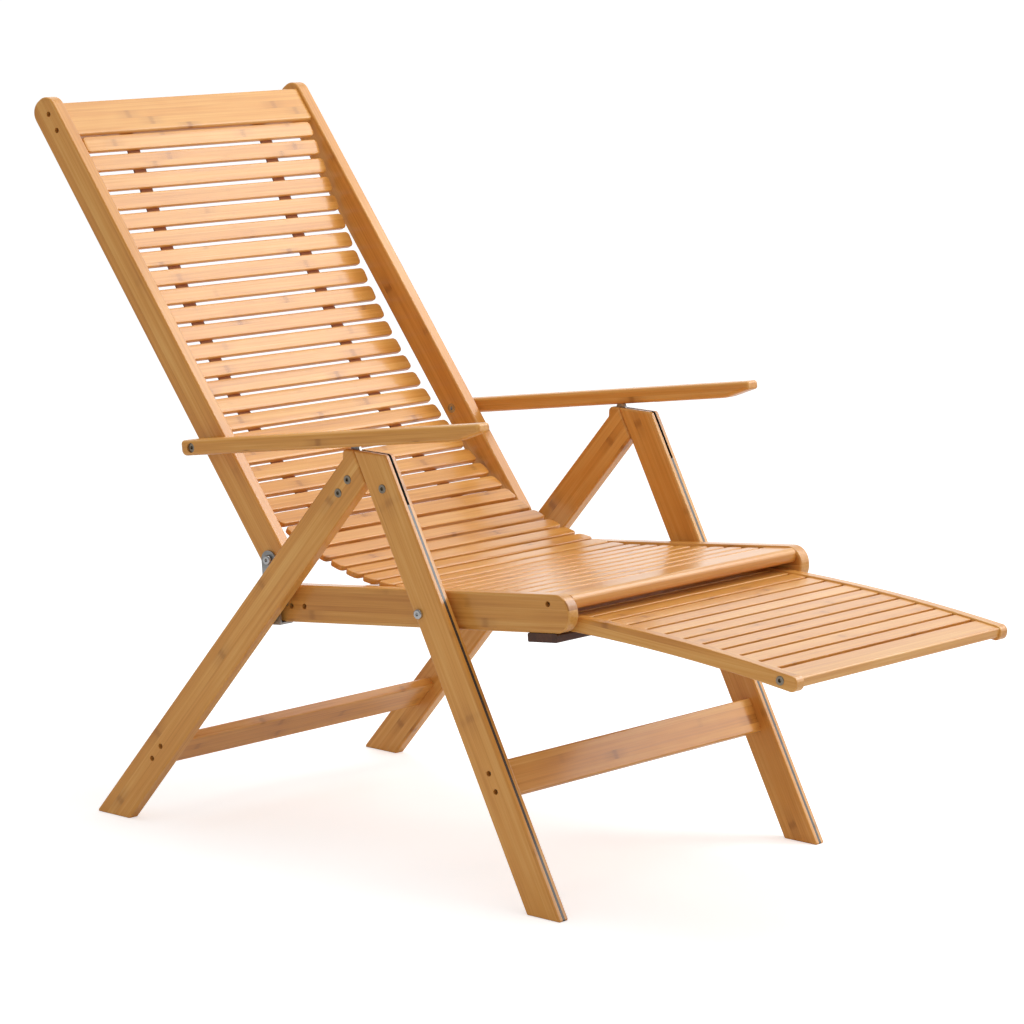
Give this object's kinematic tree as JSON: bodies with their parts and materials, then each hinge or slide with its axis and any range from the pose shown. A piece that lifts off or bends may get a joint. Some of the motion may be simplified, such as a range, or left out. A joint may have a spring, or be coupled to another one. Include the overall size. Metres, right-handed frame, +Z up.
{
  "type": "folding bamboo recliner",
  "caption": "Folding lacquered bamboo recliner: A-shaped legs, slatted sling seat and back on webbing, swinging arms and a curved slatted footrest that slides under the seat.",
  "frame": {"origin": "centre of the bounding box on the floor", "axes": "+Z up, -Y the way the sitter faces, +X the sitter's left"},
  "size_m": [0.622, 1.3492, 1.0124],
  "materials": {
    "bamboo_legs": "caramel strip-laminated bamboo under satin lacquer, edges eased and brighter",
    "bamboo_cross_rails": "caramel strip-laminated bamboo, satin lacquer",
    "bamboo_seat_frame": "caramel strip-laminated bamboo, grain along the board, satin lacquer",
    "bamboo_back_frame": "caramel strip-laminated bamboo, grain along the board, satin lacquer",
    "bamboo_slats": "paler bamboo slats with fine grain and knuckle marks, satin lacquer",
    "bamboo_arms": "bamboo with laminated layers showing on its sides, satin lacquer",
    "bamboo_footrest": "pale bamboo slats and rails with fine grain, satin lacquer",
    "webbing": "flat woven brown webbing",
    "plate_steel": "plain zinc-coated flat steel",
    "bolt_chrome": "bright plated socket heads",
    "sunk_screw_steel": "dull steel, deep in its hole"
  },
  "bodies": {
    "front_frame": {"front_leg_left": "bamboo_legs", "front_leg_right": "bamboo_legs", "front_cross_rail": "bamboo_cross_rails", "front_cross_rail_screws": "sunk_screw_steel", "apex_pivot_screws": "bolt_chrome", "seat_bolts": "bolt_chrome", "seat_bolt_nuts": "bolt_chrome", "seat_bolt_spacers": "plate_steel"},
    "rear_frame": {"rear_leg_left": "bamboo_legs", "rear_leg_right": "bamboo_legs", "rear_cross_rail": "bamboo_cross_rails", "rear_cross_rail_screws": "sunk_screw_steel", "apex_plate_left": "plate_steel", "apex_plate_right": "plate_steel", "apex_plate_screws": "bolt_chrome", "seat_rest_brackets": "plate_steel", "rest_bracket_screws": "bolt_chrome"},
    "seat": {"seat_rail_left": "bamboo_seat_frame", "seat_rail_right": "bamboo_seat_frame", "seat_front_rail": "bamboo_seat_frame", "seat_cross_rail": "bamboo_seat_frame", "seat_frame_screws": "sunk_screw_steel", "footrest_support_board": "bamboo_seat_frame", "support_board_screws": "sunk_screw_steel", "hinge_plate_left": "plate_steel", "hinge_plate_right": "plate_steel", "hinge_plate_screws": "bolt_chrome", "seat_slats": "bamboo_slats", "seat_straps": "webbing", "turn_slats": "bamboo_slats", "turn_straps": "webbing"},
    "back_hinge_bolts": {"hinge_bolts": "bolt_chrome", "hinge_bolt_nuts": "bolt_chrome"},
    "back": {"back_rail_left": "bamboo_back_frame", "back_rail_right": "bamboo_back_frame", "crest_rail": "bamboo_back_frame", "crest_rail_screws": "sunk_screw_steel", "back_slats": "bamboo_slats", "back_straps": "webbing"},
    "arm_bolt_left": {"arm_bolt_left": "bolt_chrome", "arm_bolt_nut_left": "bolt_chrome", "arm_spacer_left": "plate_steel"},
    "arm_bolt_right": {"arm_bolt_right": "bolt_chrome", "arm_bolt_nut_right": "bolt_chrome", "arm_spacer_right": "plate_steel"},
    "arm_left": {"arm_left": "bamboo_arms"},
    "arm_right": {"arm_right": "bamboo_arms"},
    "footrest": {"footrest_rail_left": "bamboo_footrest", "footrest_rail_right": "bamboo_footrest", "footrest_end_board": "bamboo_footrest", "footrest_rear_bar": "bamboo_footrest", "footrest_slats": "bamboo_footrest", "footrest_screws": "bolt_chrome"}
  },
  "joints": [
    {"name": "leg_fold", "type": "hinge", "parent": "front_frame", "child": "rear_frame", "pos_m": [0, -0.02554, 0.537], "axis": [1, 0, 0], "range_deg": [-66, 0]},
    {"name": "seat_lift", "type": "hinge", "parent": "front_frame", "child": "seat", "pos_m": [0, -0.09524, 0.37661], "axis": [1, 0, 0], "range_deg": [0, 50.02]},
    {"name": "back_fold", "type": "hinge", "parent": "seat", "child": "back_hinge_bolts", "pos_m": [0, 0.20321, 0.40511], "axis": [1, 0, 0], "range_deg": [0, 102.02]},
    {"name": "recline", "type": "hinge", "parent": "back_hinge_bolts", "child": "back", "pos_m": [0, 0.20321, 0.40511], "axis": [1, 0, 0], "range_deg": [-19, 8], "deforming": ["turn_straps"]},
    {"name": "arm_level_left", "type": "hinge", "parent": "back", "child": "arm_bolt_left", "pos_m": [0, 0.31791, 0.55191], "axis": [1, 0, 0], "range_deg": [-5.12, 12.12]},
    {"name": "arm_level_right", "type": "hinge", "parent": "back", "child": "arm_bolt_right", "pos_m": [0, 0.31791, 0.55191], "axis": [1, 0, 0], "range_deg": [-5.12, 12.12]},
    {"name": "arm_fold_left", "type": "hinge", "parent": "arm_bolt_left", "child": "arm_left", "pos_m": [0, 0.31791, 0.55191], "axis": [1, 0, 0], "range_deg": [-93.02, 0]},
    {"name": "arm_fold_right", "type": "hinge", "parent": "arm_bolt_right", "child": "arm_right", "pos_m": [0, 0.31791, 0.55191], "axis": [1, 0, 0], "range_deg": [-93.02, 0]},
    {"name": "footrest_slide", "type": "hinge", "parent": "seat", "child": "footrest", "pos_m": [0, -0.28514, -2.502], "axis": [1, 0, 0], "range_deg": [-6.56, 0]}
  ],
  "couplings": [
    {"joint": "seat_lift", "follows": "leg_fold", "ratio": -0.75758},
    {"joint": "back_fold", "follows": "leg_fold", "ratio": -1.5455},
    {"joint": "arm_fold_left", "follows": "leg_fold", "ratio": 1.4091},
    {"joint": "arm_fold_right", "follows": "leg_fold", "ratio": 1.4091},
    {"joint": "arm_level_left", "follows": "recline", "ratio": -0.637},
    {"joint": "arm_level_right", "follows": "recline", "ratio": -0.637}
  ]
}
